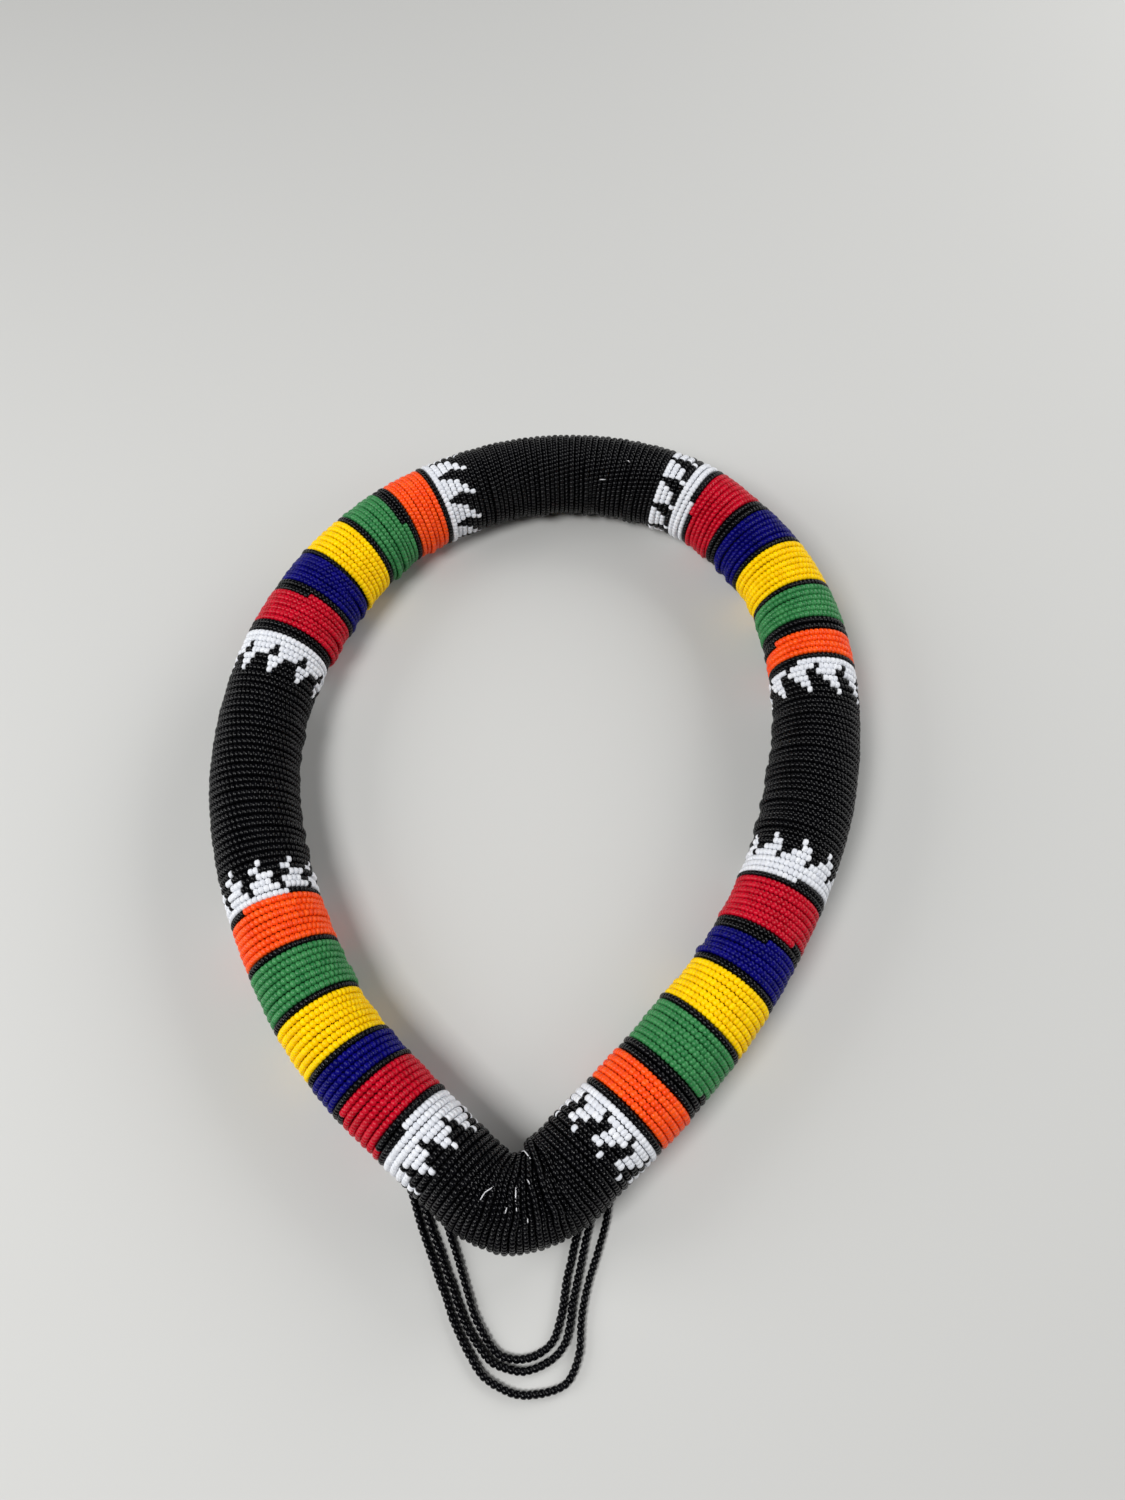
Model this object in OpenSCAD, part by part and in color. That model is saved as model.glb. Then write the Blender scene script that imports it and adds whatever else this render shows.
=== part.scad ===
// Beaded headband: a padded ring wound all round with one string of seed beads,
// with three loose bead strands that loop out from under it at its point.
// Seen from above the ring is a teardrop. Its round top lies towards +Y, its point towards -Y,
// and it rests on the plane z = 0. Lengths are in millimetres and angles in degrees.

/* [Roll] */
// Outside diameter of the beaded roll
roll_d = 29; // [27:0.5:30]
// Diameter of one seed bead, and so of a strand
bead_d = 2.1; // [1.8:0.1:2.4]
// Air between the winding and the padded core
core_gap = 0.2; // [0.15:0.05:0.4]
// Air between one colour run and the next
run_gap = 0.2; // [0.1:0.05:0.4]

/* [Plan] */
// Size of the plan against that of a 57 cm head
plan_scale = 1; // [0.98:0.01:1.06]
// Bend radius of the roll's centreline at the point
point_bend = 19.5; // [17.5:0.5:21]

/* [Hidden] */
$fn = 120;
roll_r = roll_d / 2;
bead_r = bead_d / 2;
bore_r = roll_r - bead_d;
core_r = bore_r - core_gap;

// Bend radii of the roll's centreline, clockwise from its round top. A straight has radius 0.
top_bend = 89;
shoulder_bend = 64;
brow_bend = 91;
side_bend = 124;
right_bend = 157;
flank_bend = 186;
right_leg_bend = 860;
left_leg_bend = 0;
left_flank_bend = 166;
left_bend = 123;
left_brow_bend = 115;
left_shoulder_bend = 108;

// The winding, clockwise, one row for each colour run, and the bend that it lies on.
// The point's run is a straight, a bend and a straight, and its length closes the ring.
NAME = 0;
COLOUR = 1;
LENGTH = 2;
BEND = 3;
WINDING = [
    ["white_1_start", "white",  15,   shoulder_bend],
    ["line_1a",       "black",   2,   shoulder_bend],
    ["red_1",         "red",    13.5, shoulder_bend],
    ["line_1b",       "black",   4.5, brow_bend],
    ["blue_1",        "blue",   12.5, brow_bend],
    ["line_1c",       "black",   2,   brow_bend],
    ["yellow_1",      "yellow", 15.5, brow_bend],
    ["line_1d",       "black",   2,   brow_bend],
    ["green_1",       "green",  12,   brow_bend],
    ["line_1e",       "black",   5.5, side_bend],
    ["orange_1",      "orange",  8,   side_bend],
    ["line_1f",       "black",   2.5, side_bend],
    ["white_1_end",   "white",  12,   side_bend],
    ["black_right",   "black",  50.5, right_bend],
    ["white_2_start", "white",  13.5, flank_bend],
    ["line_2a",       "black",   2.5, flank_bend],
    ["red_2",         "red",    14,   flank_bend],
    ["line_2b",       "black",   4,   flank_bend],
    ["blue_2",        "blue",   11,   flank_bend],
    ["line_2c",       "black",   2.5, flank_bend],
    ["yellow_2",      "yellow", 15,   flank_bend],
    ["line_2d",       "black",   2,   right_leg_bend],
    ["green_2",       "green",  14,   right_leg_bend],
    ["line_2e",       "black",   5.5, right_leg_bend],
    ["orange_2",      "orange", 11,   right_leg_bend],
    ["line_2f",       "black",   2.5, right_leg_bend],
    ["white_2_end",   "white",  13,   right_leg_bend],
    ["black_point",   "black",   0,   point_bend],
    ["white_3_start", "white",  14.5, left_leg_bend],
    ["line_3a",       "black",   2.5, left_leg_bend],
    ["red_3",         "red",    13,   left_flank_bend],
    ["line_3b",       "black",   2.5, left_flank_bend],
    ["blue_3",        "blue",    8.5, left_flank_bend],
    ["line_3c",       "black",   2,   left_flank_bend],
    ["yellow_3",      "yellow", 15,   left_flank_bend],
    ["line_3d",       "black",   2,   left_flank_bend],
    ["green_3",       "green",  15,   left_flank_bend],
    ["line_3e",       "black",   2,   left_flank_bend],
    ["orange_3",      "orange", 14.5, left_flank_bend],
    ["line_3f",       "black",   1.5, left_flank_bend],
    ["white_3_end",   "white",  12,   left_flank_bend],
    ["black_left",    "black",  65,   left_bend],
    ["white_4_start", "white",  14.5, left_brow_bend],
    ["line_4a",       "black",   4,   left_brow_bend],
    ["red_4",         "red",    12.5, left_brow_bend],
    ["line_4b",       "black",   3.5, left_brow_bend],
    ["blue_4",        "blue",   11,   left_brow_bend],
    ["line_4c",       "black",   1.5, left_brow_bend],
    ["yellow_4",      "yellow", 13.5, left_shoulder_bend],
    ["line_4d",       "black",   2.5, left_shoulder_bend],
    ["green_4",       "green",  12.5, left_shoulder_bend],
    ["line_4e",       "black",   3.5, left_shoulder_bend],
    ["orange_4",      "orange", 12,   left_shoulder_bend],
    ["line_4f",       "black",   2,   left_shoulder_bend],
    ["white_4_end",   "white",  13,   left_shoulder_bend],
    ["black_top",     "black",  72,   top_bend],
];
first_heading = -20;
LAST_RUN = len(WINDING) - 1;
POINT = search(["black_point"], WINDING)[0];

PAINT = [
    ["black", "#16161A"], ["white", "#ECEBE6"], ["red", "#C81430"], ["blue", "#1A1482"],
    ["yellow", "#F4C800"], ["green", "#3E9A58"], ["orange", "#F2561E"],
];
function paint(name) = PAINT[search([name], PAINT)[0]][1];

// The centreline is a chain of stretches, each a bend or a straight that goes on from the one before.
// A heading is the angle from +X, and a clockwise turn lowers it.
function sum_before(list, i, zero = 0) = i > 0 ? list[i - 1] + sum_before(list, i - 1, zero) : zero;
function sum_all(list, zero = 0) = sum_before(list, len(list), zero);
function ahead(a) = [cos(a), sin(a)];
function rightward(a) = [sin(a), -cos(a)];
function across(p, q) = p.x * q.y - p.y * q.x;
function turn_of(length, bend) = bend == 0 ? 0 : length / bend * 180 / PI;
function step_of(length, bend, heading) =
    bend == 0 ? length * ahead(heading)
              : bend * (rightward(heading) - rightward(heading - turn_of(length, bend)));

// Each stretch is [length, bend]. The point's turn makes up a whole turn of the ring.
function run_stretch(i) = plan_scale * [WINDING[i][LENGTH], WINDING[i][BEND]];
point_turn = 360 - sum_all([for (row = WINDING) turn_of(row[LENGTH], row[BEND])]);
point_arc = [point_turn * PI / 180 * point_bend, point_bend] * plan_scale;
before_point = [for (i = [0 : POINT - 1]) run_stretch(i)];
after_point = [for (i = [POINT + 1 : LAST_RUN]) run_stretch(i)];
function headings_of(chain) =
    let (turns = [for (c = chain) turn_of(c[0], c[1])])
        [for (j = [0 : len(chain) - 1]) first_heading - sum_before(turns, j)];
function steps_of(chain, headings) =
    [for (j = [0 : len(chain) - 1]) step_of(chain[j][0], chain[j][1], headings[j])];

// The point's two straights bring the chain's end back to its start
bent_chain = concat(before_point, [point_arc], after_point);
bent_headings = headings_of(bent_chain);
bent_sum = sum_all(steps_of(bent_chain, bent_headings), [0, 0]);
right_way = ahead(bent_headings[POINT]);
left_way = ahead(bent_headings[POINT] - point_turn);
right_straight = -across(bent_sum, left_way) / across(right_way, left_way);
left_straight = -across(right_way, bent_sum) / across(right_way, left_way);

CHAIN = concat(before_point, [[right_straight, 0], point_arc, [left_straight, 0]], after_point);
LAST = len(CHAIN) - 1;
chain_headings = headings_of(CHAIN);
chain_steps = steps_of(CHAIN, chain_headings);
chain_starts = [for (j = [0 : LAST]) sum_before(chain_steps, j, [0, 0])];
function place(j, along) = chain_starts[j] + step_of(along, CHAIN[j][1], chain_headings[j]);
function heading(j, along) = chain_headings[j] - turn_of(along, CHAIN[j][1]);
function bend_centre(j) = chain_starts[j] + CHAIN[j][1] * rightward(chain_headings[j]);

// Places along stretch j for a swept mesh, each [x, y, heading], from its start to just short of its end
sweep_step = 7;
sweep_turn = 7.5;
function sweep_count(j) = ceil(max(CHAIN[j][0] / sweep_step, turn_of(CHAIN[j][0], CHAIN[j][1]) / sweep_turn));
function sweep_places(j, from = 0) =
    let (n = sweep_count(j), long = CHAIN[j][0] - from)
        [for (i = [0 : n - 1]) let (along = from + i / n * long, p = place(j, along)) [p.x, p.y, heading(j, along)]];

// Tip of the point's centreline, where the heading is straight back along -X
tip = bend_centre(POINT + 1) - [0, CHAIN[POINT + 1][1]];

// Routes of the strands' centres on the resting surface, from the tip of the point's centreline.
// Both ends lie under the roll, just short of where it touches them.
OUTER_ROUTE = [
    [-36.5, 13], [-34, 8.5], [-32, 3.5], [-30, -1.5], [-28, -6.5], [-26, -11], [-23.5, -16],
    [-21.5, -20.5], [-19, -25.5], [-17, -30], [-14.5, -34.5], [-11.5, -39], [-8, -43.5],
    [-4, -46], [0, -47.5], [4, -48], [8, -47.5], [12, -46.5], [15.5, -44.5], [17.5, -40.5],
    [18.5, -36], [18.5, -31], [19, -26], [20, -21], [21.5, -16], [23, -11], [24.5, -5.5],
    [25.5, 0], [27, 5], [28, 9],
];
MIDDLE_ROUTE = [
    [-32, 9.5], [-30, 5], [-28, 0.5], [-26, -4.5], [-24, -9], [-21.5, -14], [-19.5, -18.5],
    [-17, -23.5], [-15, -28], [-12.5, -32.5], [-9.5, -36.5], [-5.5, -40.5], [-1, -42],
    [3.5, -42.5], [8, -41], [12, -38.5], [14.5, -35], [15.5, -30.5], [16, -25.5],
    [17, -20.5], [18, -15.5], [19, -10], [20.5, -4], [21.5, 1.5],
];
INNER_ROUTE = [
    [-25, 4], [-22.5, -1], [-20.5, -6], [-18.5, -11], [-16.5, -15.5], [-14.5, -20.5],
    [-12.5, -25.5], [-10.5, -30], [-7.5, -34.5], [-4.5, -38], [-1, -39.5], [3.5, -39.5],
    [7.5, -38], [11, -35], [12.5, -30.5], [13.5, -25.5], [14, -20.5], [15, -15.5],
    [16, -10.5], [17, -5.5], [17.5, -2],
];
strand_reach = max([for (p = OUTER_ROUTE) -p.y]) * plan_scale + bead_r;

// The middle of the model's box, which becomes the origin
all_places = [for (j = [0 : LAST]) each sweep_places(j)];
all_x = [for (p = all_places) p.x];
all_y = [for (p = all_places) p.y];
box_middle = [(min(all_x) + max(all_x)) / 2, (max(all_y) + roll_r + tip.y - strand_reach) / 2];
module centred() {
    translate([-box_middle.x, -box_middle.y, 0]) children();
}

// The section drawn by the children, swept along stretch j without half a gap at each end
module along_stretch(j) {
    from = run_gap / 2;
    to = CHAIN[j][0] - run_gap / 2;
    bend = CHAIN[j][1];
    if (bend == 0) {
        start = place(j, from);
        translate([start.x, start.y, roll_r])
            rotate([0, 90, chain_headings[j]])
                linear_extrude(to - from) children();
    } else {
        centre = bend_centre(j);
        translate([centre.x, centre.y, roll_r])
            rotate(heading(j, to) + 90)
                rotate_extrude(angle = turn_of(to - from, bend))
                    translate([bend, 0]) children();
    }
}

module sleeve_section() {
    difference() {
        circle(roll_r);
        circle(bore_r);
    }
}

module bead_run(i) {
    color(paint(WINDING[i][COLOUR])) centred()
        if (i == POINT) swept_sleeve(point_places());
        else along_stretch(i < POINT ? i : i + 2) sleeve_section();
}

// Ring of points round a place on the centreline, at a height, with a corner at the very bottom
function ring(place, height, r, sides) = [
    for (k = [0 : sides - 1])
        let (a = 360 * k / sides, out = r * cos(a) * rightward(place[2]))
            [place.x + out.x, place.y + out.y, height + r * sin(a)]
];
function tube_walls(rings, sides, first = 0, inward = false) = [
    for (j = [0 : rings - 2], k = [0 : sides - 1])
        let (a = first + j * sides + k, b = first + j * sides + (k + 1) % sides)
            inward ? [a, a + sides, b + sides, b] : [a, b, b + sides, a + sides]
];

// The point's sleeve, as one mesh because its bend runs straight into its two straights
SLEEVE_SIDES = 24;
function point_places() = concat(
    sweep_places(POINT, run_gap / 2),
    sweep_places(POINT + 1),
    sweep_places(POINT + 2),
    let (j = POINT + 2, along = CHAIN[j][0] - run_gap / 2, p = place(j, along)) [[p.x, p.y, heading(j, along)]]
);
module swept_sleeve(places) {
    sides = SLEEVE_SIDES;
    rings = len(places);
    inner_r = bore_r / cos(180 / sides);
    outer = [for (p = places) each ring(p, roll_r, roll_r, sides)];
    inner = [for (p = places) each ring(p, roll_r, inner_r, sides)];
    half = rings * sides;
    far = half - sides;
    near_end = [for (k = [0 : sides - 1]) let (m = (k + 1) % sides) [m, k, half + k, half + m]];
    far_end = [for (k = [0 : sides - 1]) let (m = (k + 1) % sides) [far + k, far + m, half + far + m, half + far + k]];
    walls = concat(tube_walls(rings, sides), tube_walls(rings, sides, half, true));
    polyhedron(concat(outer, inner), concat(walls, near_end, far_end));
}

// The padded core, a closed ring
CORE_SIDES = 20;
module core_roll() {
    rings = len(all_places);
    points = [for (p = all_places) each ring(p, roll_r, core_r, CORE_SIDES)];
    last = (rings - 1) * CORE_SIDES;
    closing = [for (k = [0 : CORE_SIDES - 1]) let (m = (k + 1) % CORE_SIDES) [last + k, last + m, m, k]];
    color("#2A2A2C") centred() polyhedron(points, concat(tube_walls(rings, CORE_SIDES), closing));
}

// A tube of bead diameter along a route on the resting surface, with one ring of points at each place
STRAND_SIDES = 8;
function route_heading(route, j) =
    let (step = route[min(j + 1, len(route) - 1)] - route[max(j - 1, 0)]) atan2(step.y, step.x);
module strand(route) {
    sides = STRAND_SIDES;
    rings = len(route);
    places = [
        for (j = [0 : rings - 1])
            let (p = tip + plan_scale * route[j]) [p.x, p.y, route_heading(route, j)]
    ];
    points = [for (p = places) each ring(p, bead_r, bead_r, sides)];
    first_cap = [for (k = [sides - 1 : -1 : 0]) k];
    last_cap = [for (k = [0 : sides - 1]) (rings - 1) * sides + k];
    color(paint("black")) centred() polyhedron(points, concat(tube_walls(rings, sides), [first_cap, last_cap]));
}
module strand_outer() { strand(OUTER_ROUTE); }
module strand_middle() { strand(MIDDLE_ROUTE); }
module strand_inner() { strand(INNER_ROUTE); }

for (i = [0 : LAST_RUN])
    bead_run(i);
core_roll();
strand_outer();
strand_middle();
strand_inner();
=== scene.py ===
"""The beaded headband's looks: a string of seed beads wound round a padded ring, and loose strands."""
import math

import bpy
import numpy as np
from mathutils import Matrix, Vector


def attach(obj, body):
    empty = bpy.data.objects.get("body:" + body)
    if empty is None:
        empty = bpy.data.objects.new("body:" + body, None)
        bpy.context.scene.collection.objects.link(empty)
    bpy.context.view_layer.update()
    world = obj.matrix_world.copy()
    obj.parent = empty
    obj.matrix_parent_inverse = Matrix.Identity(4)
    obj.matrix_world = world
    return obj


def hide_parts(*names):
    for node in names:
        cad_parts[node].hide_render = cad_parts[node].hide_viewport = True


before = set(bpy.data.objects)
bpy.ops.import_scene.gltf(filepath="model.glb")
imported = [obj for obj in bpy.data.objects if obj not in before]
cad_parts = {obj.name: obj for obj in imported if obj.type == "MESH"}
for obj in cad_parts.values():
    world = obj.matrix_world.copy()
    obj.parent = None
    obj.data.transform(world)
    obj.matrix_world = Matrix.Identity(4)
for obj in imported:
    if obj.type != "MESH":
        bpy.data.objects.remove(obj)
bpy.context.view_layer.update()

# The headband is worked out in millimetres, as in the solid model, and its meshes are scaled to metres. The
# camera, the lights, the floor and the backdrop are in metres.
MM = 0.001
random = np.random.default_rng(27)

# Camera, fitted to the photograph: the roll's even width gives its height, lens and tilt
CAMERA_PLACE = (0.01398, -0.11468, 0.3406)
CAMERA_TILT = 23.95
CAMERA_TURN = 2.3
LENS = 26.4
SENSOR = 36

# The roll, the string on it and the padding inside: radii, and the bend of the centreline at the point
ROLL_R = 14.5
BEAD_R = 1.05
STRING_R = ROLL_R - BEAD_R
CORE_R = 12.2
POINT_BEND = 19.5
# Heading of the centreline where the winding starts, in degrees
FIRST_HEADING = -20

# The winding, clockwise from the round top: name, colour, length, bend radius, and turns of the string
WINDING = [
    ("white_1_start", "white", 15, 64, 6.4),
    ("line_1a", "black", 2, 64, 0.95),
    ("red_1", "red", 13.5, 64, 6.65),
    ("line_1b", "black", 4.5, 91, 2),
    ("blue_1", "blue", 12.5, 91, 6),
    ("line_1c", "black", 2, 91, 1),
    ("yellow_1", "yellow", 15.5, 91, 7),
    ("line_1d", "black", 2, 91, 1),
    ("green_1", "green", 12, 91, 6),
    ("line_1e", "black", 5.5, 124, 2.33),
    ("orange_1", "orange", 8, 124, 3.67),
    ("line_1f", "black", 2.5, 124, 1.41),
    ("white_1_end", "white", 12, 124, 5.59),
    ("black_right", "black", 50.5, 157, 26),
    ("white_2_start", "white", 13.5, 186, 6.53),
    ("line_2a", "black", 2.5, 186, 1.47),
    ("red_2", "red", 14, 186, 6.63),
    ("line_2b", "black", 4, 186, 1.9),
    ("blue_2", "blue", 11, 186, 5.47),
    ("line_2c", "black", 2.5, 186, 1),
    ("yellow_2", "yellow", 15, 186, 7),
    ("line_2d", "black", 2, 860, 1),
    ("green_2", "green", 14, 860, 6.67),
    ("line_2e", "black", 5.5, 860, 2.33),
    ("orange_2", "orange", 11, 860, 5),
    ("line_2f", "black", 2.5, 860, 1),
    ("white_2_end", "white", 13, 860, 6),
    ("black_point", "black", 0, POINT_BEND, 32),
    ("white_3_start", "white", 14.5, 0, 6.53),
    ("line_3a", "black", 2.5, 0, 1.13),
    ("red_3", "red", 13, 166, 6.01),
    ("line_3b", "black", 2.5, 166, 1.33),
    ("blue_3", "blue", 8.5, 166, 4),
    ("line_3c", "black", 2, 166, 1),
    ("yellow_3", "yellow", 15, 166, 7),
    ("line_3d", "black", 2, 166, 1),
    ("green_3", "green", 15, 166, 7),
    ("line_3e", "black", 2, 166, 1),
    ("orange_3", "orange", 14.5, 166, 6.59),
    ("line_3f", "black", 1.5, 166, 0.82),
    ("white_3_end", "white", 12, 166, 5.59),
    ("black_left", "black", 65, 123, 30),
    ("white_4_start", "white", 14.5, 115, 7),
    ("line_4a", "black", 4, 115, 2),
    ("red_4", "red", 12.5, 115, 6.47),
    ("line_4b", "black", 3.5, 115, 1.53),
    ("blue_4", "blue", 11, 115, 6),
    ("line_4c", "black", 1.5, 115, 1),
    ("yellow_4", "yellow", 13.5, 108, 6),
    ("line_4d", "black", 2.5, 108, 1),
    ("green_4", "green", 12.5, 108, 6.4),
    ("line_4e", "black", 3.5, 108, 1.6),
    ("orange_4", "orange", 12, 108, 6),
    ("line_4f", "black", 2, 108, 1),
    ("white_4_end", "white", 13, 108, 6),
    ("black_top", "black", 72, 89, 37),
]
POINT = [row[0] for row in WINDING].index("black_point")
# Turn of the string at the winding's start, counted from the inner edge of the ring, and beads in a turn
FIRST_TURN = 0.75
BEADS_A_TURN = 53.7

# The white runs step into the black ones. Each row from the run's start has its number of black beads in
# each repeat, and the bead, counted from the underside, that they start at. Rows past the chart are all
# white.
REPEAT = 6
STEPPED = {
    "white_1_start": [(1, 5), (2, 4), (3, 3), (5, 1)],
    "white_1_end": [(0, 0), (1, 1), (2, 0), (3, 0), (4, 0), (5, 1)],
    "white_2_start": [(5, 4), (4, 5), (2, 5), (1, 5)],
    "white_2_end": [(0, 0), (1, 0), (2, 1), (3, 5), (4, 3), (5, 5)],
    "white_3_start": [(5, 1), (4, 2), (2, 2), (1, 4)],
    "white_3_end": [(0, 0), (1, 4), (2, 5), (3, 3), (4, 4), (5, 3)],
    "white_4_start": [(5, 2), (4, 2), (3, 3), (2, 1), (1, 1)],
    "white_4_end": [(0, 0), (1, 2), (2, 2), (3, 1), (4, 5), (5, 4)],
}
# A chart's row begins on the underside, this share of a turn before it passes the inner edge
UNDER = 0.25
# Keeps a run that begins on the underside in its own first row
ROUNDING = 0.001

# Where the padding is pressed slimmer than the even ring, or swells a little (below zero): length along the
# ring, inner side, outer side
SLIM = [
    (12, 0.5, 0.5),
    (28, 1, 2),
    (42, 1, 1),
    (55, 2, 0.5),
    (80, 1, 0),
    (95, 0.5, 0),
    (118, 1, 0),
    (140, 0, 0),
    (157, 1, 0.5),
    (182, 1, 1),
    (205, 1, 0.5),
    (220, 0.5, 0),
    (245, 0, 0),
    (268, -1, 1.5),
    (283, -1.5, 2),
    (290, 0.5, 1),
    (294, 1.5, 0),
    (299, 2, 0.5),
    (308, 2.5, 0.5),
    (335, 1.5, 0.5),
    (350, 1.5, 0),
    (368, 2, 0),
    (384, 0.5, 0.5),
    (400, 0, 1),
    (430, 0, 1),
    (450, 0.5, 0.5),
    (475, 0.5, 0.5),
    (498, 0, 0),
    (512, -1, 0),
    (531, 0, -0.5),
    (545, 1, -0.5),
    (562, 2, -0.5),
    (580, 1, 0),
    (595, 1, 0.5),
    (631, 1, 0.5),
]
# How fast the notch at the point fades away from the inner edge
NOTCH_POWER = 3
# Places along the centreline at which the model's box is measured
BOX_SAMPLES = 4000

# Each row of the string is sampled at this many angles. The tables have rows to spare past the last turn.
ANGLES = 72
SPARE_ROWS = 3
# Part of a turn to each side over which the rows' own distance is measured
RATE_STEP = 0.25
# Rows find too little room on the inside of a bend. Each has a rank, spread evenly among its neighbours by
# the golden share, and sinks beneath them as the room falls from above its rank to below it.
FULL_ROOM = 0.87
RANK_SPAN = 0.93
RANK_START = 0.3
GOLDEN_SHARE = 0.618034
RANK_BLEND = 0.2
# What a sunk row still takes of a row's width, how deep it sinks, and how fast
LEAST_WIDTH = 0.03
SINK = 1.7
SINK_POWER = 1.6

# The string's unevenness, as smooth noise: its reach in millimetres, knots' spacing in turns, and seed. It
# has knots to spare past the last turn.
SPARE_KNOTS = 6
ALONG_NOISE = (0.10, 0.17, 1)
BEAD_NOISE = (0.06, 0.11, 2)
ROW_NOISE = (0.12, 0.7, 4)
CORE_NOISE = (0.08, 0.5, 5)
# Rows that are crowded or on the inner side lie looser, and stand out or in by this noise within this range
LOOSE_NOISE = (4, 0.9, 3)
LOOSE_RANGE = (-1, 3)
LOOSE_INSIDE = 0.08
LOOSE_MOST = 0.27

# Most that a bead's end lies off the string's line, and that a joint between beads shifts along it, as a
# share of a bead
LEAN = 0.09
JOINT_SHIFT = 0.05
# A bead's half width fills its row, within limits, and a sunk bead has one of its own
ROW_FILL = 1.06
HALF_RANGE = (0.86, 1.13)
SUNK_HALF = 0.95
# Shares of its full size that a bead may have across and outwards, and on the loose strands
ACROSS_RANGE = (0.97, 1.0)
OUT_RANGE = (0.95, 1.0)
STRAND_RANGE = (1.0, 1.07)
# How far the end rings of a string are drawn in, so that runs that meet don't touch
END_GAP = 0.05
# Shape of the beta distribution by which beads take tones between their glass's dark and light
TONE_SPREAD = (2, 2)
# Shorter vectors count as this long, so that none is divided by zero
LEAST_LENGTH = 1e-12
# The padded core's mesh
CORE_RINGS = 330
CORE_SIDES = 20
# The core's noise has one turn for each of these millimetres along it, and this many for a radian round it
CORE_NOISE_LENGTH = 3
CORE_NOISE_ROUND = 7

# Bead glass: dark tone, light tone, roughness, specular level, and share of light that scatters inside
GLASS = {
    "black": ((0.001, 0.001, 0.0015), (0.003, 0.003, 0.004), 0.18, 0.16, 0),
    "white": ((0.68, 0.70, 0.75), (0.80, 0.815, 0.85), 0.32, 0.2, 0.25),
    "red": ((0.40, 0.001, 0.010), (0.58, 0.003, 0.021), 0.28, 0.2, 0),
    "blue": ((0.001, 0.001, 0.09), (0.004, 0.003, 0.17), 0.26, 0.11, 0),
    "yellow": ((0.90, 0.54, 0.0), (1.0, 0.68, 0.0), 0.32, 0.1, 0),
    "green": ((0.020, 0.165, 0.046), (0.047, 0.25, 0.077), 0.28, 0.27, 0),
    "orange": ((0.86, 0.055, 0.003), (1.0, 0.105, 0.007), 0.3, 0.25, 0),
}

# Clear thread that shows between the rows, each piece from one place to another (length along, degrees round
# the roll), and how high its middle stands over the roll
THREADS = [
    ("notch", (290.2, 31), (285.6, 52), 0.85),
    ("right", (288.6, 72), (287.8, 79), 0.85),
    ("middle", (292.2, 79), (292.0, 94), 0.5),
    ("outer", (291.8, 99), (291.6, 105), 0.45),
    ("left", (294.2, 106), (294.0, 100), 0.45),
    ("loop_low", (300.4, 102), (300.2, 93), 0.35),
    ("loop_high", (300.2, 93), (298.6, 83), 0.35),
    ("edge", (289.4, 112), (289.4, 117), 0.38),
    ("top_left", (638.0, 46), (640.4, 47), 0.45),
    ("top", (647.2, 79), (648.2, 77), 0.45),
]
THREAD_R = 0.18
THREAD_STEPS = 12
THREAD_SIDES = 6

# Routes of the strands' centres from the tip of the point's centreline, as in the solid model
STRAND_ROUTES = {
    "strand_outer": [
        (-36.5, 13), (-34, 8.5), (-32, 3.5), (-30, -1.5), (-28, -6.5), (-26, -11), (-23.5, -16),
        (-21.5, -20.5), (-19, -25.5), (-17, -30), (-14.5, -34.5), (-11.5, -39), (-8, -43.5),
        (-4, -46), (0, -47.5), (4, -48), (8, -47.5), (12, -46.5), (15.5, -44.5), (17.5, -40.5),
        (18.5, -36), (18.5, -31), (19, -26), (20, -21), (21.5, -16), (23, -11), (24.5, -5.5),
        (25.5, 0), (27, 5), (28, 9),
    ],
    "strand_middle": [
        (-32, 9.5), (-30, 5), (-28, 0.5), (-26, -4.5), (-24, -9), (-21.5, -14), (-19.5, -18.5),
        (-17, -23.5), (-15, -28), (-12.5, -32.5), (-9.5, -36.5), (-5.5, -40.5), (-1, -42),
        (3.5, -42.5), (8, -41), (12, -38.5), (14.5, -35), (15.5, -30.5), (16, -25.5),
        (17, -20.5), (18, -15.5), (19, -10), (20.5, -4), (21.5, 1.5),
    ],
    "strand_inner": [
        (-25, 4), (-22.5, -1), (-20.5, -6), (-18.5, -11), (-16.5, -15.5), (-14.5, -20.5),
        (-12.5, -25.5), (-10.5, -30), (-7.5, -34.5), (-4.5, -38), (-1, -39.5), (3.5, -39.5),
        (7.5, -38), (11, -35), (12.5, -30.5), (13.5, -25.5), (14, -20.5), (15, -15.5),
        (16, -10.5), (17, -5.5), (17.5, -2),
    ],
}
# Length of a bead on a strand, height of its middle, most that a joint shifts along it, most that it sways
# to the side, and the shares of that sway that joints take
STRAND_BEAD = 1.68
STRAND_HEIGHT = BEAD_R * 1.08
STRAND_SHIFT = 0.08
STRAND_SWAY = 0.14
SWAY_RANGE = (0.3, 1)

# Floor, backdrop and light, in metres. The backdrop starts at a distance from the middle, curves up, and
# goes on straight to its top.
FLOOR_TONE = (0.57, 0.57, 0.555)
FLOOR_REACH = 3
MATT = 0.9
COVE_TONE = (0.5, 0.5, 0.49)
COVE_START = 0.55
COVE_BEND = 0.5
COVE_TOP = 2.0
COVE_STEPS = 24
COVE_SIDES = 96
# How fast the backdrop fades from the floor's shading to one plain tone as it curves up
COVE_FADE = 1.5
WORLD_STRENGTH = 0.02
# Lights that face the middle: name, place, width, watts
LIGHTS = [
    ("key", (-0.4, -0.38, 1.0), 0.4, 8.9),
    ("left", (-1.0, 0, 0.55), 0.6, 6.4),
    ("upper_right", (0.7, 0.7, 0.55), 0.6, 6.2),
    ("right", (1.0, 0, 0.55), 0.6, 3.7),
]


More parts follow.
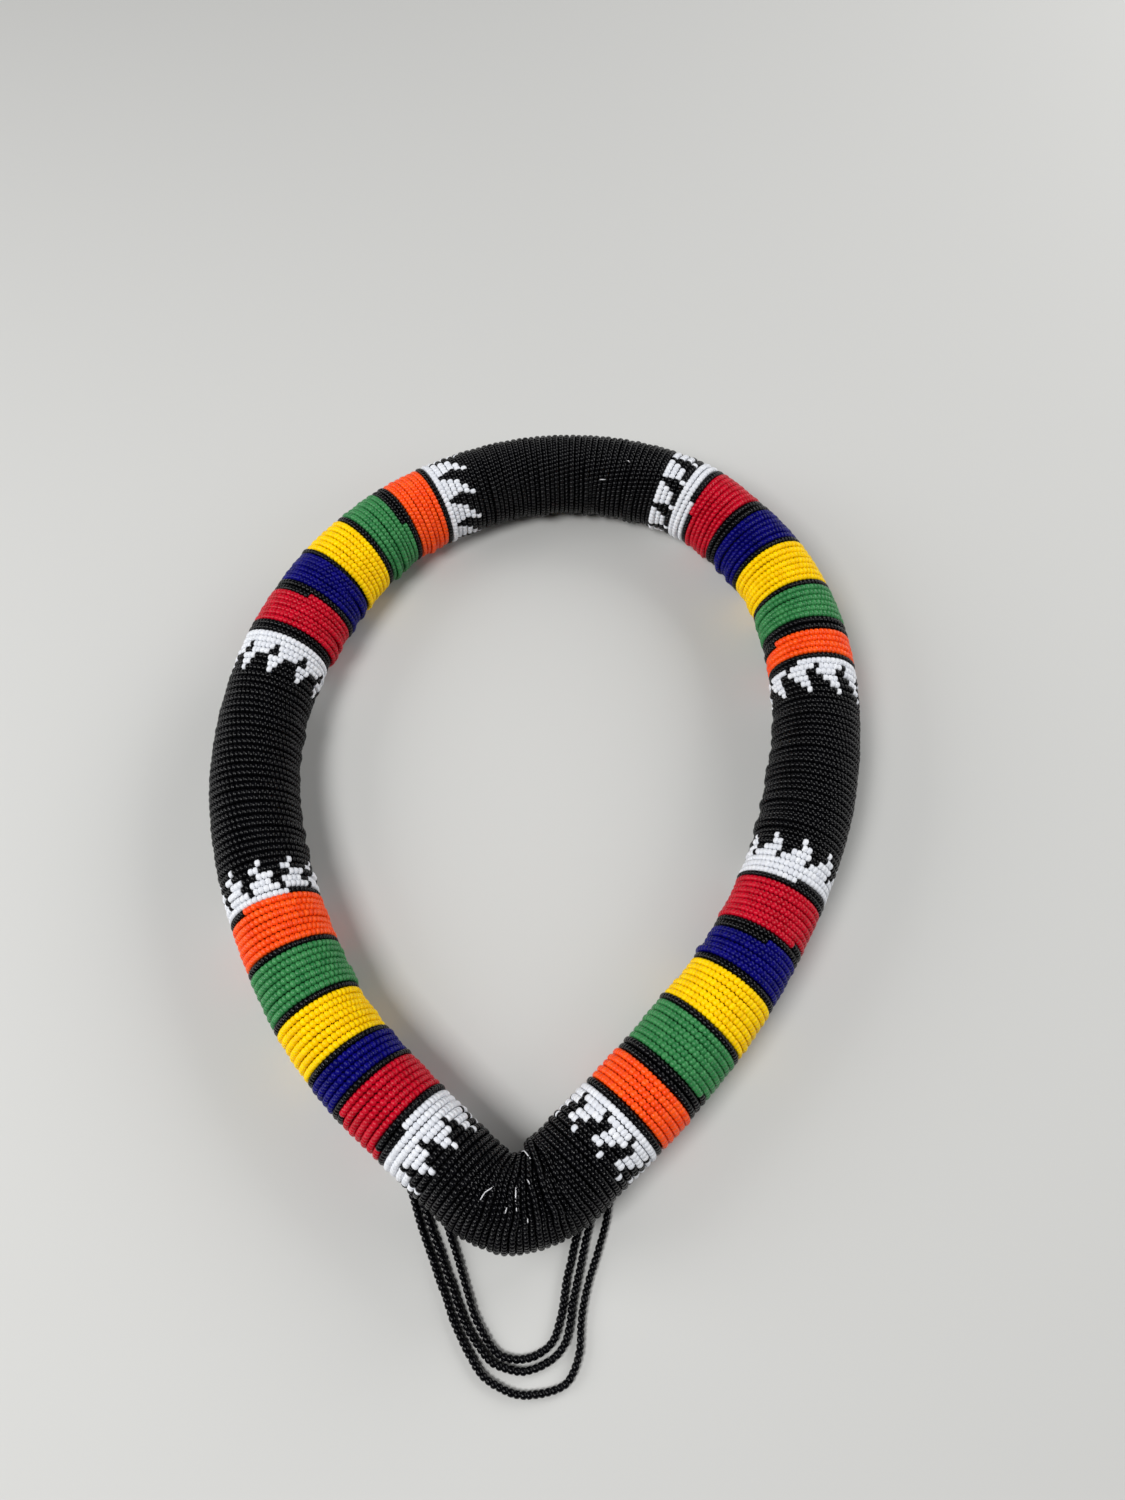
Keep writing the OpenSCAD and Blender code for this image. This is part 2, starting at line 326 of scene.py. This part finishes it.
def add_camera():
    """The camera, at the photograph's viewing angle."""
    data = bpy.data.cameras.new("camera")
    data.sensor_fit = "VERTICAL"
    data.sensor_height = SENSOR
    data.sensor_width = SENSOR
    data.lens = LENS
    camera = bpy.data.objects.new("camera", data)
    camera.location = CAMERA_PLACE
    camera.rotation_euler = (math.radians(CAMERA_TILT), 0, math.radians(CAMERA_TURN))
    bpy.context.scene.collection.objects.link(camera)
    bpy.context.scene.camera = camera


add_camera()


# The roll's centreline
def ahead(heading):
    """Unit vectors along these headings."""
    return np.stack([np.cos(heading), np.sin(heading)], -1)


def rightward(heading):
    """Unit vectors to the right of these headings, which is towards the inside of the ring."""
    return np.stack([np.sin(heading), -np.cos(heading)], -1)


def turn_of(length, bend):
    """How far the heading turns over a stretch. A bend of 0 is a straight."""
    return length / bend if bend else 0.0


def step_of(length, bend, heading):
    """The step from one end of a stretch to the other."""
    if not bend:
        return length * ahead(heading)
    return bend * (rightward(heading) - rightward(heading - length / bend))


def across(first, second):
    """The cross product of two flat vectors."""
    return first[0] * second[1] - first[1] * second[0]


class Chain:
    """The roll's centreline: bends and straights that close at the point, as in the solid model."""

    def __init__(self):
        runs = [(length, bend) for _, _, length, bend, _ in WINDING]
        before, after = runs[:POINT], runs[POINT + 1:]
        self.point_turn = 2 * math.pi - sum(turn_of(*run) for run in runs)
        point = (self.point_turn * POINT_BEND, POINT_BEND)
        # Two straights beside the point's bend make up what the bends alone miss by
        open_chain = before + [point] + after
        headings = self.headings_of(open_chain)
        miss = sum(step_of(*stretch, heading) for stretch, heading in zip(open_chain, headings))
        right_way = ahead(headings[POINT])
        left_way = ahead(headings[POINT] - self.point_turn)
        self.right_straight = -across(miss, left_way) / across(right_way, left_way)
        self.left_straight = -across(right_way, miss) / across(right_way, left_way)
        stretches = before + [(self.right_straight, 0), point, (self.left_straight, 0)] + after
        self.lengths = np.array([length for length, _ in stretches], float)
        self.bends = np.array([bend for _, bend in stretches], float)
        self.headings = np.array(self.headings_of(stretches))
        steps = np.array([step_of(*stretch, heading) for stretch, heading in zip(stretches, self.headings)])
        self.starts = np.concatenate([np.zeros((1, 2)), np.cumsum(steps, 0)[:-1]])
        self.ends = np.cumsum(self.lengths)
        self.total = self.ends[-1]
        bend_centre = self.starts[POINT + 1] + POINT_BEND * rightward(self.headings[POINT + 1])
        self.tip = bend_centre - np.array([0, POINT_BEND])
        self.middle = np.zeros(2)

    @staticmethod
    def headings_of(stretches):
        """The heading at each stretch's start."""
        turns = np.cumsum([0] + [turn_of(*stretch) for stretch in stretches[:-1]])
        return [math.radians(FIRST_HEADING) - turn for turn in turns]

    def at(self, along):
        """Places, headings and curvatures at these lengths along the centreline."""
        along = np.mod(np.asarray(along, float), self.total)
        stretch = np.minimum(np.searchsorted(self.ends, along, side="right"), len(self.ends) - 1)
        local = along - (self.ends[stretch] - self.lengths[stretch])
        bend = self.bends[stretch]
        curvature = np.where(bend > 0, 1 / np.where(bend > 0, bend, 1), 0)
        first_heading = self.headings[stretch]
        heading = first_heading - local * curvature
        straight = local[..., None] * ahead(first_heading)
        bent = bend[..., None] * (rightward(first_heading) - rightward(heading))
        place = self.starts[stretch] + np.where(bend[..., None] > 0, bent, straight)
        return place - self.middle, heading, curvature


chain = Chain()


def box_middle():
    """The middle of the model's box: the roll across, and from its round top to the outer strand."""
    sampled = chain.at(np.linspace(0, chain.total, BOX_SAMPLES))[0]
    across_sum = sampled[:, 0].min() + sampled[:, 0].max()
    round_top = sampled[:, 1].max() + ROLL_R
    strand_end = chain.tip[1] + min(y for _, y in STRAND_ROUTES["strand_outer"]) - BEAD_R
    return np.array([across_sum / 2, (round_top + strand_end) / 2])


chain.middle = box_middle()


def notch_dip(along, cosine):
    """How far the inner side is pressed in at the point, where the inner edges run on to a sharp notch."""
    half = chain.point_turn / 2
    middle = chain.ends[POINT] + half * POINT_BEND
    off = np.clip(np.abs(np.mod(along, chain.total) - middle) / POINT_BEND, 0, half)
    deepest = (POINT_BEND - ROLL_R) * (1 / np.cos(half - off) - 1)
    return deepest * np.maximum(cosine, 0) ** NOTCH_POWER


def pressed_in(along, cosine):
    """How much nearer to the centreline the slimmer padding lies, as a share of the distance from it."""
    lengths, inner, outer = np.array(SLIM, float).T
    inner_side = np.interp(along, lengths, inner, period=chain.total)
    outer_side = np.interp(along, lengths, outer, period=chain.total)
    return np.where(cosine > 0, inner_side, outer_side) / ROLL_R


def on_roll(along, angle, radius):
    """Points at these lengths, angles and radii of the roll, and the directions out from its centreline."""
    place, heading, _ = chain.at(along)
    flat_out = np.cos(angle)[..., None] * rightward(heading)
    out = np.concatenate([flat_out, np.sin(angle)[..., None]], -1)
    reach = radius * (1 - pressed_in(along, np.cos(angle)))
    flat = place + reach[..., None] * flat_out
    height = ROLL_R + radius * np.sin(angle)
    return np.concatenate([flat, height[..., None]], -1), out


# The string's way round the roll
def winding_knots():
    """Turns of the string against length along the ring, at each run's ends and round the point."""
    turns, lengths = [FIRST_TURN], [0.0]
    for name, _, length, _, count in WINDING:
        spans, shares = [length], [1]
        if name == "black_point":
            # The rows lie side by side on the outer edge, so its lengths share them out
            spans = np.array([chain.right_straight, chain.point_turn * POINT_BEND, chain.left_straight])
            outer_edge = spans + np.array([0, chain.point_turn * ROLL_R, 0])
            shares = outer_edge / outer_edge.sum()
        for span, share in zip(spans, shares):
            turns.append(turns[-1] + share * count)
            lengths.append(lengths[-1] + span)
    # The winding goes on past both ends, which meet
    _, _, length, _, count = WINDING[-1]
    turns = [turns[0] - count] + turns + [turns[-1] + count]
    lengths = [lengths[0] - length] + lengths + [lengths[-1] + length]
    return np.array(turns), np.array(lengths)


KNOT_TURNS, KNOT_LENGTHS = winding_knots()
RUN_TURNS = np.concatenate([[FIRST_TURN], FIRST_TURN + np.cumsum([row[4] for row in WINDING])])
ROWS = int(RUN_TURNS[-1]) + SPARE_ROWS


def ease(share):
    """A share from 0 to 1 that starts and ends gently."""
    return share * share * (3 - 2 * share)


def smooth_noise(turns, reach, spacing, seed):
    """Smooth noise within this reach either way along the string, with a knot at each spacing of a turn."""
    knots = np.random.default_rng(seed).uniform(-1, 1, int(RUN_TURNS[-1] / spacing) + SPARE_KNOTS)
    place = np.maximum(turns / spacing + 1, 0)
    knot = place.astype(int)
    share = ease(place - knot)
    return reach * (knots[knot] * (1 - share) + knots[knot + 1] * share)


def lay_rows():
    """Tables of each row at each sampled angle: length along the ring, share by which it doesn't sink, room
    for it, and spacing. A row's number is the turn at which it passes the inner edge of the ring.
    """
    angle = np.linspace(-0.5, 0.5, ANGLES + 1)
    turns = np.arange(ROWS)[:, None] + angle[None]
    curvature = chain.at(np.interp(turns, KNOT_TURNS, KNOT_LENGTHS))[2]
    stretch = 1 - curvature * STRING_R * np.cos(2 * np.pi * angle)[None]
    length_after = np.interp(turns + RATE_STEP, KNOT_TURNS, KNOT_LENGTHS)
    length_before = np.interp(turns - RATE_STEP, KNOT_TURNS, KNOT_LENGTHS)
    rate = (length_after - length_before) / (2 * RATE_STEP)
    room = rate * stretch / (2 * BEAD_R)
    rank = RANK_SPAN * np.mod(np.arange(ROWS) * GOLDEN_SHARE + RANK_START, 1)
    keep = ease(np.clip((room / FULL_ROOM - rank[:, None]) / RANK_BLEND + 0.5, 0, 1))
    width = (LEAST_WIDTH + (1 - LEAST_WIDTH) * keep) / stretch
    place = np.empty_like(turns)
    spacing = np.empty_like(turns)
    for column in range(ANGLES + 1):
        at = turns[:, column]
        edges = np.append(at - 0.5, at[-1] + 0.5)
        sums = np.append(0, np.cumsum(width[:, column]))
        knots = np.interp(KNOT_TURNS, edges, sums)
        place[:, column] = np.interp(np.interp(at, edges, sums), knots, KNOT_LENGTHS)
        spacing[:, column] = np.diff(np.interp(sums, knots, KNOT_LENGTHS)) * stretch[:, column]
    return place, keep, np.clip(room, 0, 1), spacing


ROW_PLACE, ROW_KEEP, ROW_ROOM, ROW_SPACING = lay_rows()


def look_up(table, turns):
    """A row table's values at these turns of the string."""
    row = np.floor(turns + 0.5).astype(int)
    place = (turns + 0.5 - row) * ANGLES
    column = np.minimum(place.astype(int), ANGLES - 1)
    share = place - column
    return table[row, column] * (1 - share) + table[row, column + 1] * share


def string_frame(turns):
    """Centres of the string at these turns, directions out, and its beads' half widths across the row."""
    angle = 2 * np.pi * turns
    cosine = np.cos(angle)
    along = look_up(ROW_PLACE, turns) + smooth_noise(turns, *ALONG_NOISE)
    keep = look_up(ROW_KEEP, turns)
    crowd = 1 - look_up(ROW_ROOM, turns)
    radius = STRING_R - SINK * (1 - keep) ** SINK_POWER + smooth_noise(turns, *BEAD_NOISE)
    radius += smooth_noise(turns, *ROW_NOISE)
    radius -= notch_dip(along, cosine)
    loose = np.minimum(crowd + LOOSE_INSIDE * np.maximum(cosine, 0), LOOSE_MOST)
    radius += keep * loose * np.clip(smooth_noise(turns, *LOOSE_NOISE), *LOOSE_RANGE)
    # No bead dips below the surface that the roll rests on. The limit matters at the very bottom alone.
    radius = np.minimum(radius, (STRING_R - LEAN) / np.maximum(-np.sin(angle), 0.5))
    centres, outs = on_roll(along, angle, radius)
    half = np.clip(look_up(ROW_SPACING, turns) / 2 * ROW_FILL, *HALF_RANGE)
    half = np.where(keep < 0.5, SUNK_HALF, half)
    return centres, outs, half


# Meshes
def unit(vectors):
    """These vectors at length 1."""
    return vectors / np.maximum(np.linalg.norm(vectors, axis=-1, keepdims=True), LEAST_LENGTH)


def quads_between(first_rings, second_rings, sides):
    """Faces that join each first ring of points to its second one."""
    corner = np.arange(sides)[None]
    next_corner = (corner + 1) % sides
    first = first_rings[:, None] * sides
    second = second_rings[:, None] * sides
    quads = np.stack([first + corner, first + next_corner, second + next_corner, second + corner], -1)
    return quads.reshape(-1, 4)


def tube_mesh(name, rings):
    """A closed tube through rings of points, with a flat face at each end."""
    ring_count, sides = rings.shape[:2]
    ring = np.arange(ring_count)
    quads = quads_between(ring[:-1], ring[1:], sides)
    first_end = np.arange(sides)[::-1]
    last_end = (ring_count - 1) * sides + np.arange(sides)
    corners = np.concatenate([quads.ravel(), first_end, last_end]).astype(np.int32)
    starts = np.append(np.arange(len(quads) + 1) * 4, len(quads) * 4 + sides).astype(np.int32)
    mesh = bpy.data.meshes.new(name)
    mesh.vertices.add(ring_count * sides)
    mesh.vertices.foreach_set("co", (rings.reshape(-1, 3) * MM).ravel())
    mesh.loops.add(len(corners))
    mesh.loops.foreach_set("vertex_index", corners)
    mesh.polygons.add(len(starts))
    mesh.polygons.foreach_set("loop_start", starts)
    mesh.update(calc_edges=True)
    mesh.polygons.foreach_set("use_smooth", np.ones(len(starts), bool))
    return mesh


def ring_mesh(name, points, faces):
    """A smooth mesh of rings of points, in metres."""
    mesh = bpy.data.meshes.new(name)
    mesh.from_pydata(points.reshape(-1, 3).tolist(), [], faces.tolist())
    mesh.polygons.foreach_set("use_smooth", np.ones(len(faces), bool))
    return mesh


def add_object(name, mesh, *materials):
    """An object of this mesh in the scene."""
    for material in materials:
        mesh.materials.append(material)
    thing = bpy.data.objects.new(name, mesh)
    bpy.context.scene.collection.objects.link(thing)
    return thing


def section_of(degrees, squareness):
    """Outline of a bead seen along the string, as shares of its half sizes outwards and across."""
    angle = np.radians(degrees)
    flat = np.column_stack([np.cos(angle), np.sin(angle)])
    return flat / (np.abs(flat) ** squareness).sum(1, keepdims=True) ** (1 / squareness)


# A bead is a barrel. Its shape is a profile, which has a ring at its waist and rings on its body as (place
# along it, share of its size), and a section. The next bead's waist ends it.
WOUND_SHAPE = (
    [(0, 0.64), (0.2, 1), (0.8, 1)],
    section_of(degrees=[0, 32, 64, 105, 180, 255, 296, 328], squareness=2.15),
)
STRAND_SHAPE = (
    [(0, 0.6), (0.13, 0.88), (0.34, 1), (0.66, 1), (0.87, 0.88)],
    section_of(degrees=np.arange(10) * 36, squareness=2.1),
)


def bead_rings(centres, outs, half_across, half_out, profile, section):
    """Rings round a string of beads, one bead between each two centres. Each leans a little its own way."""
    chord = centres[1:] - centres[:-1]
    axis = unit(chord)
    out = unit(outs[1:] + outs[:-1])
    out = unit(out - (out * axis).sum(1, keepdims=True) * axis)
    side = np.cross(axis, out)
    lean = random.uniform(-LEAN, LEAN, (len(chord), 2))
    lean_way = lean[:, :1] * out + lean[:, 1:] * side
    outline = (
        half_out[:, None, None] * section[None, :, :1] * out[:, None]
        + half_across[:, None, None] * section[None, :, 1:] * side[:, None]
    )
    rings = []
    for along, share in profile:
        middle = centres[:-1] + along * chord + (2 * along - 1 if along else 0) * lean_way
        rings.append(middle[:, None] + share * outline)
    # A waist is shared with the bead before it, and lies between their two rings
    last = centres[1:][:, None] + profile[0][1] * outline
    rings[0][1:] = (rings[0][1:] + last[:-1]) / 2
    rings[0][0] += END_GAP * axis[0]
    rings = np.stack(rings, 1).reshape(-1, len(section), 3)
    return np.concatenate([rings, last[-1:] - END_GAP * axis[-1]])


def sharpen_waists(mesh, sides, rings_a_bead):
    """Marks the edges round each waist as sharp, so that each bead is shaded by itself."""
    ends = np.empty(len(mesh.edges) * 2, np.int32)
    mesh.edges.foreach_get("vertices", ends)
    ring = ends.reshape(-1, 2) // sides
    at_waist = (ring[:, 0] == ring[:, 1]) & (ring[:, 0] % rings_a_bead == 0)
    sharp = mesh.attributes.new("sharp_edge", "BOOLEAN", "EDGE")
    sharp.data.foreach_set("value", at_waist)


def bead_string(name, centres, outs, half_across, half_out, shape, tones, materials, choice=None):
    """A string of beads as one piece. Each bead has a tone of its own, and a choice, if there is one, says
    whether it takes the second material.
    """
    profile, section = shape
    mesh = tube_mesh("beads_" + name, bead_rings(centres, outs, half_across, half_out, profile, section))
    count = len(tones)
    bead_of_face = np.append(np.repeat(np.arange(count), len(section) * len(profile)), [0, count - 1])
    if choice is not None:
        mesh.polygons.foreach_set("material_index", choice[bead_of_face].astype(np.int32))
    tone = mesh.attributes.new("bead_tone", "FLOAT", "FACE")
    tone.data.foreach_set("value", tones[bead_of_face].astype(np.float32))
    sharpen_waists(mesh, len(section), len(profile))
    mesh.validate()
    piece = add_object("beads_" + name, mesh, *materials)
    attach(piece, "root")
    return piece


# Materials
def new_material(name):
    """A material with its node tree and its shader."""
    material = bpy.data.materials.new(name)
    material.use_nodes = True
    tree = material.node_tree
    return material, tree, tree.nodes["Principled BSDF"]


def set_inputs(node, values):
    """Sets a node's own sockets."""
    for socket, value in values.items():
        node.inputs[socket].default_value = value


def attribute_value(tree, name):
    """The socket of a mesh attribute's value."""
    attribute = tree.nodes.new("ShaderNodeAttribute")
    attribute.attribute_name = name
    return attribute.outputs["Fac"]


def blend_colours(tree, factor, first, second):
    """The socket of a colour between two, by a factor that differs over the surface."""
    mix = tree.nodes.new("ShaderNodeMix")
    mix.data_type = "RGBA"
    set_inputs(mix, {"A": (*first, 1), "B": (*second, 1)})
    tree.links.new(factor, mix.inputs["Factor"])
    return mix.outputs["Result"]


def add_bump(tree, shader, height, strength, distance):
    """Raises and lowers the surface by a height that differs over it."""
    bump = tree.nodes.new("ShaderNodeBump")
    set_inputs(bump, {"Strength": strength, "Distance": distance})
    tree.links.new(height, bump.inputs["Height"])
    tree.links.new(bump.outputs["Normal"], shader.inputs["Normal"])


def bead_material(name, dark, light, roughness, specular, scatter):
    """Opaque glass: each bead has its own tone between two colours, and a faintly uneven gloss."""
    material, tree, shader = new_material(name)
    colour = blend_colours(tree, attribute_value(tree, "bead_tone"), dark, light)
    tree.links.new(colour, shader.inputs["Base Color"])
    set_inputs(shader, {"Roughness": roughness, "Specular IOR Level": specular})
    if scatter:
        set_inputs(shader, {
            "Subsurface Weight": scatter,
            "Subsurface Radius": (0.6, 0.6, 0.6),
            "Subsurface Scale": MM,
        })
    place = tree.nodes.new("ShaderNodeTexCoord")
    noise = tree.nodes.new("ShaderNodeTexNoise")
    set_inputs(noise, {"Scale": 900, "Detail": 2})
    tree.links.new(place.outputs["Object"], noise.inputs["Vector"])
    add_bump(tree, shader, noise.outputs["Fac"], strength=0.12, distance=0.0002)
    return material


def thread_material():
    """Clear thread that glints, a little flecked."""
    material, tree, shader = new_material("clear_thread")
    set_inputs(shader, {"Base Color": (0.62, 0.62, 0.64, 1), "Roughness": 0.18, "Specular IOR Level": 0.8})
    fleck = tree.nodes.new("ShaderNodeTexNoise")
    set_inputs(fleck, {"Scale": 2500})
    add_bump(tree, shader, fleck.outputs["Fac"], strength=0.2, distance=0.00005)
    return material


def cloth_material():
    """The padding's dark woven cloth."""
    material, tree, shader = new_material("core_cloth")
    set_inputs(shader, {"Roughness": MATT, "Sheen Weight": 0.1})
    place = tree.nodes.new("ShaderNodeTexCoord")
    weave = tree.nodes.new("ShaderNodeTexVoronoi")
    set_inputs(weave, {"Scale": 1800})
    tree.links.new(place.outputs["Object"], weave.inputs["Vector"])
    ramp = tree.nodes.new("ShaderNodeValToRGB")
    ramp.color_ramp.elements[0].color = (0.006, 0.006, 0.007, 1)
    ramp.color_ramp.elements[1].color = (0.02, 0.02, 0.022, 1)
    tree.links.new(weave.outputs["Distance"], ramp.inputs["Fac"])
    tree.links.new(ramp.outputs["Color"], shader.inputs["Base Color"])
    add_bump(tree, shader, weave.outputs["Distance"], strength=0.6, distance=0.0002)
    return material


def cove_material():
    """The floor's shading at the foot, which fades to one plain tone higher up."""
    material, tree, shader = new_material("cove")
    set_inputs(shader, {"Roughness": MATT, "Emission Color": (*COVE_TONE, 1)})
    rise = attribute_value(tree, "rise")
    tree.links.new(blend_colours(tree, rise, FLOOR_TONE, (0, 0, 0)), shader.inputs["Base Color"])
    tree.links.new(rise, shader.inputs["Emission Strength"])
    return material


BEADS = {colour: bead_material(colour + "_beads", *glass) for colour, glass in GLASS.items()}


# The pieces
def stepped_black(chart, first_turn, turns):
    """Whether each bead at these turns of a stepped white run is black."""
    chart = np.array(chart + [(0, 0)])
    from_under = turns + UNDER
    row = np.floor(from_under).astype(int) - math.floor(first_turn + UNDER + ROUNDING)
    black, first = chart[np.minimum(row, len(chart) - 1)].T
    return (np.floor((from_under % 1) * BEADS_A_TURN) - first) % REPEAT < black


def wind_runs():
    """The wound string, a piece for each colour run."""
    for run, (name, colour, _, _, count) in enumerate(WINDING):
        beads = round(count * BEADS_A_TURN)
        turns = np.linspace(RUN_TURNS[run], RUN_TURNS[run + 1], beads + 1)
        shift = random.uniform(-JOINT_SHIFT, JOINT_SHIFT, beads + 1) / BEADS_A_TURN
        shift[[0, -1]] = 0
        centres, outs, half = string_frame(turns + shift)
        half_across = (half[1:] + half[:-1]) / 2 * random.uniform(*ACROSS_RANGE, beads)
        half_out = BEAD_R * random.uniform(*OUT_RANGE, beads)
        tones = random.beta(*TONE_SPREAD, beads)
        materials = [BEADS[colour]]
        choice = None
        if name in STEPPED:
            choice = stepped_black(STEPPED[name], RUN_TURNS[run], (turns[1:] + turns[:-1]) / 2)
            materials.append(BEADS["black"])
        piece = bead_string(
            name, centres, outs, half_across, half_out, WOUND_SHAPE, tones, materials, choice
        )
        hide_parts(name)


def lay_threads():
    """The pieces of clear thread, whose ends dip between the rows."""
    material = thread_material()
    share = np.linspace(0, 1, THREAD_STEPS + 1)
    angle = np.linspace(0, 2 * np.pi, THREAD_SIDES, endpoint=False)
    for name, (start, start_degrees), (end, end_degrees), rise in THREADS:
        along = start + share * (end - start)
        degrees = start_degrees + share * (end_degrees - start_degrees)
        points, outs = on_roll(along, np.radians(degrees), ROLL_R + rise * np.sin(np.pi * share))
        side = np.cross(unit(np.gradient(points, axis=0)), outs)
        rings = points[:, None] + THREAD_R * (
            np.cos(angle)[None, :, None] * outs[:, None] + np.sin(angle)[None, :, None] * side[:, None]
        )
        piece = add_object("thread_" + name, tube_mesh("thread_" + name, rings), material)
        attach(piece, "root")


def smooth_route(points, samples=24):
    """A curve through points, with even tangents."""
    points = np.array(points, float)
    padded = np.concatenate([2 * points[:1] - points[1:2], points, 2 * points[-1:] - points[-2:-1]])
    share = np.linspace(0, 1, samples, endpoint=False)[:, None]
    curve = []
    for before, start, end, after in zip(padded, padded[1:], padded[2:], padded[3:]):
        square = 2 * before - 5 * start + 4 * end - after
        cube = 3 * start - before - 3 * end + after
        curve.append((2 * start + (end - before) * share + square * share ** 2 + cube * share ** 3) / 2)
    return np.concatenate(curve + [points[-1:]])


def lay_strands():
    """The loose strands, single strings that lie on the surface in loops."""
    tip = chain.tip - chain.middle
    for name, route in STRAND_ROUTES.items():
        line = smooth_route(route) + tip
        lengths = np.append(0, np.cumsum(np.linalg.norm(np.diff(line, axis=0), axis=1)))
        beads = round(lengths[-1] / STRAND_BEAD)
        at = np.linspace(0, lengths[-1], beads + 1)
        at[1:-1] += random.uniform(-STRAND_SHIFT, STRAND_SHIFT, beads - 1)
        flat = np.column_stack([np.interp(at, lengths, line[:, 0]), np.interp(at, lengths, line[:, 1])])
        tangent = unit(np.gradient(flat, axis=0))
        sway = STRAND_SWAY * (-1.0) ** np.arange(beads + 1) * random.uniform(*SWAY_RANGE, beads + 1)
        flat += sway[:, None] * np.column_stack([tangent[:, 1], -tangent[:, 0]])
        centres = np.column_stack([flat, np.full(beads + 1, STRAND_HEIGHT)])
        outs = np.tile([0.0, 0.0, 1.0], (beads + 1, 1))
        half = BEAD_R * random.uniform(*STRAND_RANGE, beads)
        tones = random.beta(*TONE_SPREAD, beads)
        piece = bead_string(name, centres, outs, half, half, STRAND_SHAPE, tones, [BEADS["black"]])
        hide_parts(name)


def add_core():
    """The padded core, which shows only where rows spread apart."""
    lengths = np.linspace(0, chain.total, CORE_RINGS, endpoint=False)
    angles = np.linspace(0, 2 * np.pi, CORE_SIDES, endpoint=False)
    along, angle = np.meshgrid(lengths, angles, indexing="ij")
    radius = CORE_R + smooth_noise(along / CORE_NOISE_LENGTH + angle * CORE_NOISE_ROUND, *CORE_NOISE)
    radius -= notch_dip(along, np.cos(angle))
    points, _ = on_roll(along, angle, radius)
    ring = np.arange(CORE_RINGS)
    mesh = ring_mesh("padded_core", points * MM, quads_between(ring, np.roll(ring, -1), CORE_SIDES))
    core = add_object("padded_core", mesh, cloth_material())
    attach(core, "root")
    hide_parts("core_roll")


wind_runs()
lay_threads()
lay_strands()
add_core()


# Floor, backdrop and light
def add_floor():
    """The plain pale floor."""
    mesh = bpy.data.meshes.new("floor")
    reach = FLOOR_REACH
    corners = [(-reach, -reach, 0), (reach, -reach, 0), (reach, reach, 0), (-reach, reach, 0)]
    mesh.from_pydata(corners, [], [(0, 1, 2, 3)])
    material, _, shader = new_material("floor")
    set_inputs(shader, {"Base Color": (*FLOOR_TONE, 1), "Roughness": MATT})
    add_object("floor", mesh, material)


def add_cove():
    """The backdrop, which curves up round the floor. Only the camera sees it: it casts no light or shade."""
    share = np.linspace(0, 1, COVE_STEPS)
    reach = np.append(COVE_START + COVE_BEND * np.sin(share * np.pi / 2), COVE_START + COVE_BEND)
    height = np.append(COVE_BEND * (1 - np.cos(share * np.pi / 2)), COVE_TOP)
    fade = ease(np.append(np.minimum(COVE_FADE * share, 1), 1))
    around = np.linspace(0, 2 * np.pi, COVE_SIDES, endpoint=False)
    points = np.empty((len(reach), COVE_SIDES, 3))
    points[..., 0] = reach[:, None] * np.cos(around)
    points[..., 1] = reach[:, None] * np.sin(around)
    points[..., 2] = height[:, None]
    # Each face joins an upper ring to the one below it, so that it looks inwards
    ring = np.arange(len(reach))
    mesh = ring_mesh("cove", points, quads_between(ring[1:], ring[:-1], COVE_SIDES))
    rise = mesh.attributes.new("rise", "FLOAT", "POINT")
    rise.data.foreach_set("value", np.repeat(fade, COVE_SIDES).astype(np.float32))
    cove = add_object("cove", mesh, cove_material())
    cove.visible_diffuse = False
    cove.visible_glossy = False
    cove.visible_transmission = False
    cove.visible_shadow = False


def add_light():
    """Soft studio light from four places, and a faint even light."""
    world = bpy.data.worlds.new("world")
    bpy.context.scene.world = world
    world.use_nodes = True
    set_inputs(world.node_tree.nodes["Background"], {"Color": (1, 1, 1, 1), "Strength": WORLD_STRENGTH})
    for name, place, width, watts in LIGHTS:
        data = bpy.data.lights.new(name, "AREA")
        data.size = width
        data.energy = watts
        light = bpy.data.objects.new(name, data)
        light.location = place
        light.rotation_euler = (-Vector(place)).to_track_quat("-Z", "Y").to_euler()
        light.visible_camera = False
        bpy.context.scene.collection.objects.link(light)
    bpy.context.scene.view_settings.view_transform = "Standard"


add_floor()
add_cove()
add_light()
